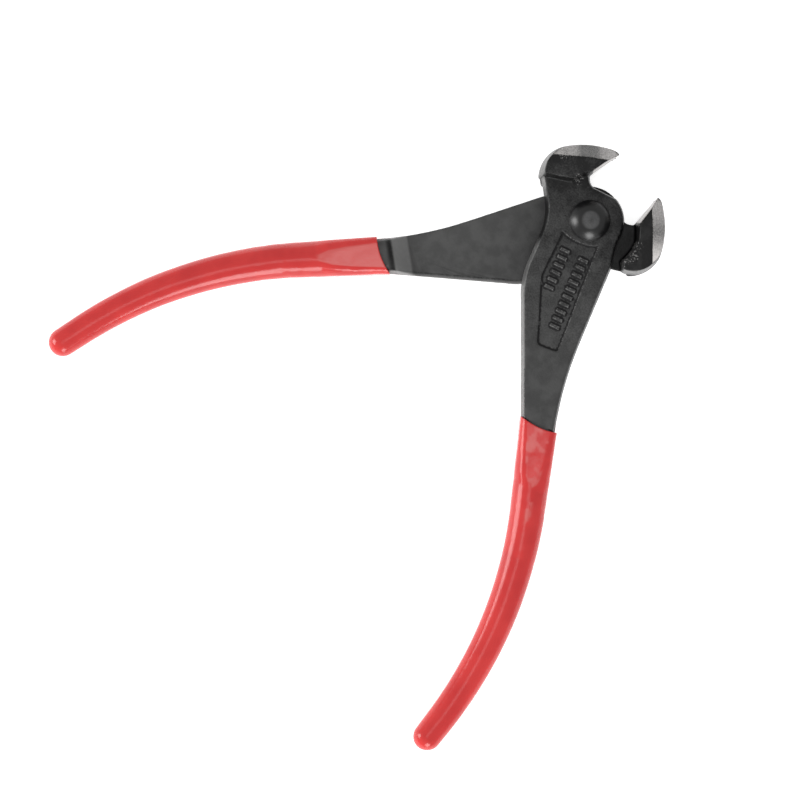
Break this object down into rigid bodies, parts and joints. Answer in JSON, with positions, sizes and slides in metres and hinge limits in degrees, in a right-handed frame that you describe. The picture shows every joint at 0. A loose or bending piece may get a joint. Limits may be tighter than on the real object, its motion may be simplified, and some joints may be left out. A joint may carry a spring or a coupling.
{
  "type": "tile nippers",
  "caption": "Riveted hand nippers with two curved cutting jaws, half-lapped forged levers and dip-coated grips, for nibbling tile edges.",
  "frame": {"origin": "on the rivet's axis, half way through the lap between the two levers", "axes": "+Z along the rivet out of its domed head, +Y along the open tool's centreline towards the jaws, +X to the right seen from the domed head"},
  "size_m": [0.1638, 0.1601, 0.021],
  "materials": {
    "black_steel": "black lacquer over a drop forging, with the cutting corners ground bright",
    "rivet_steel": "smooth glossy black",
    "red_pvc": "glossy dipped coat"
  },
  "bodies": {
    "front": {"front_lever": "black_steel", "front_grip": "red_pvc", "pivot_rivet": "rivet_steel"},
    "rear": {"rear_lever": "black_steel", "rear_grip": "red_pvc"}
  },
  "joints": [
    {"name": "pivot", "type": "hinge", "parent": "front", "child": "rear", "pos_m": [0, 0, 0], "axis": [0, 0, 1], "range_deg": [-11, 45.1]}
  ]
}
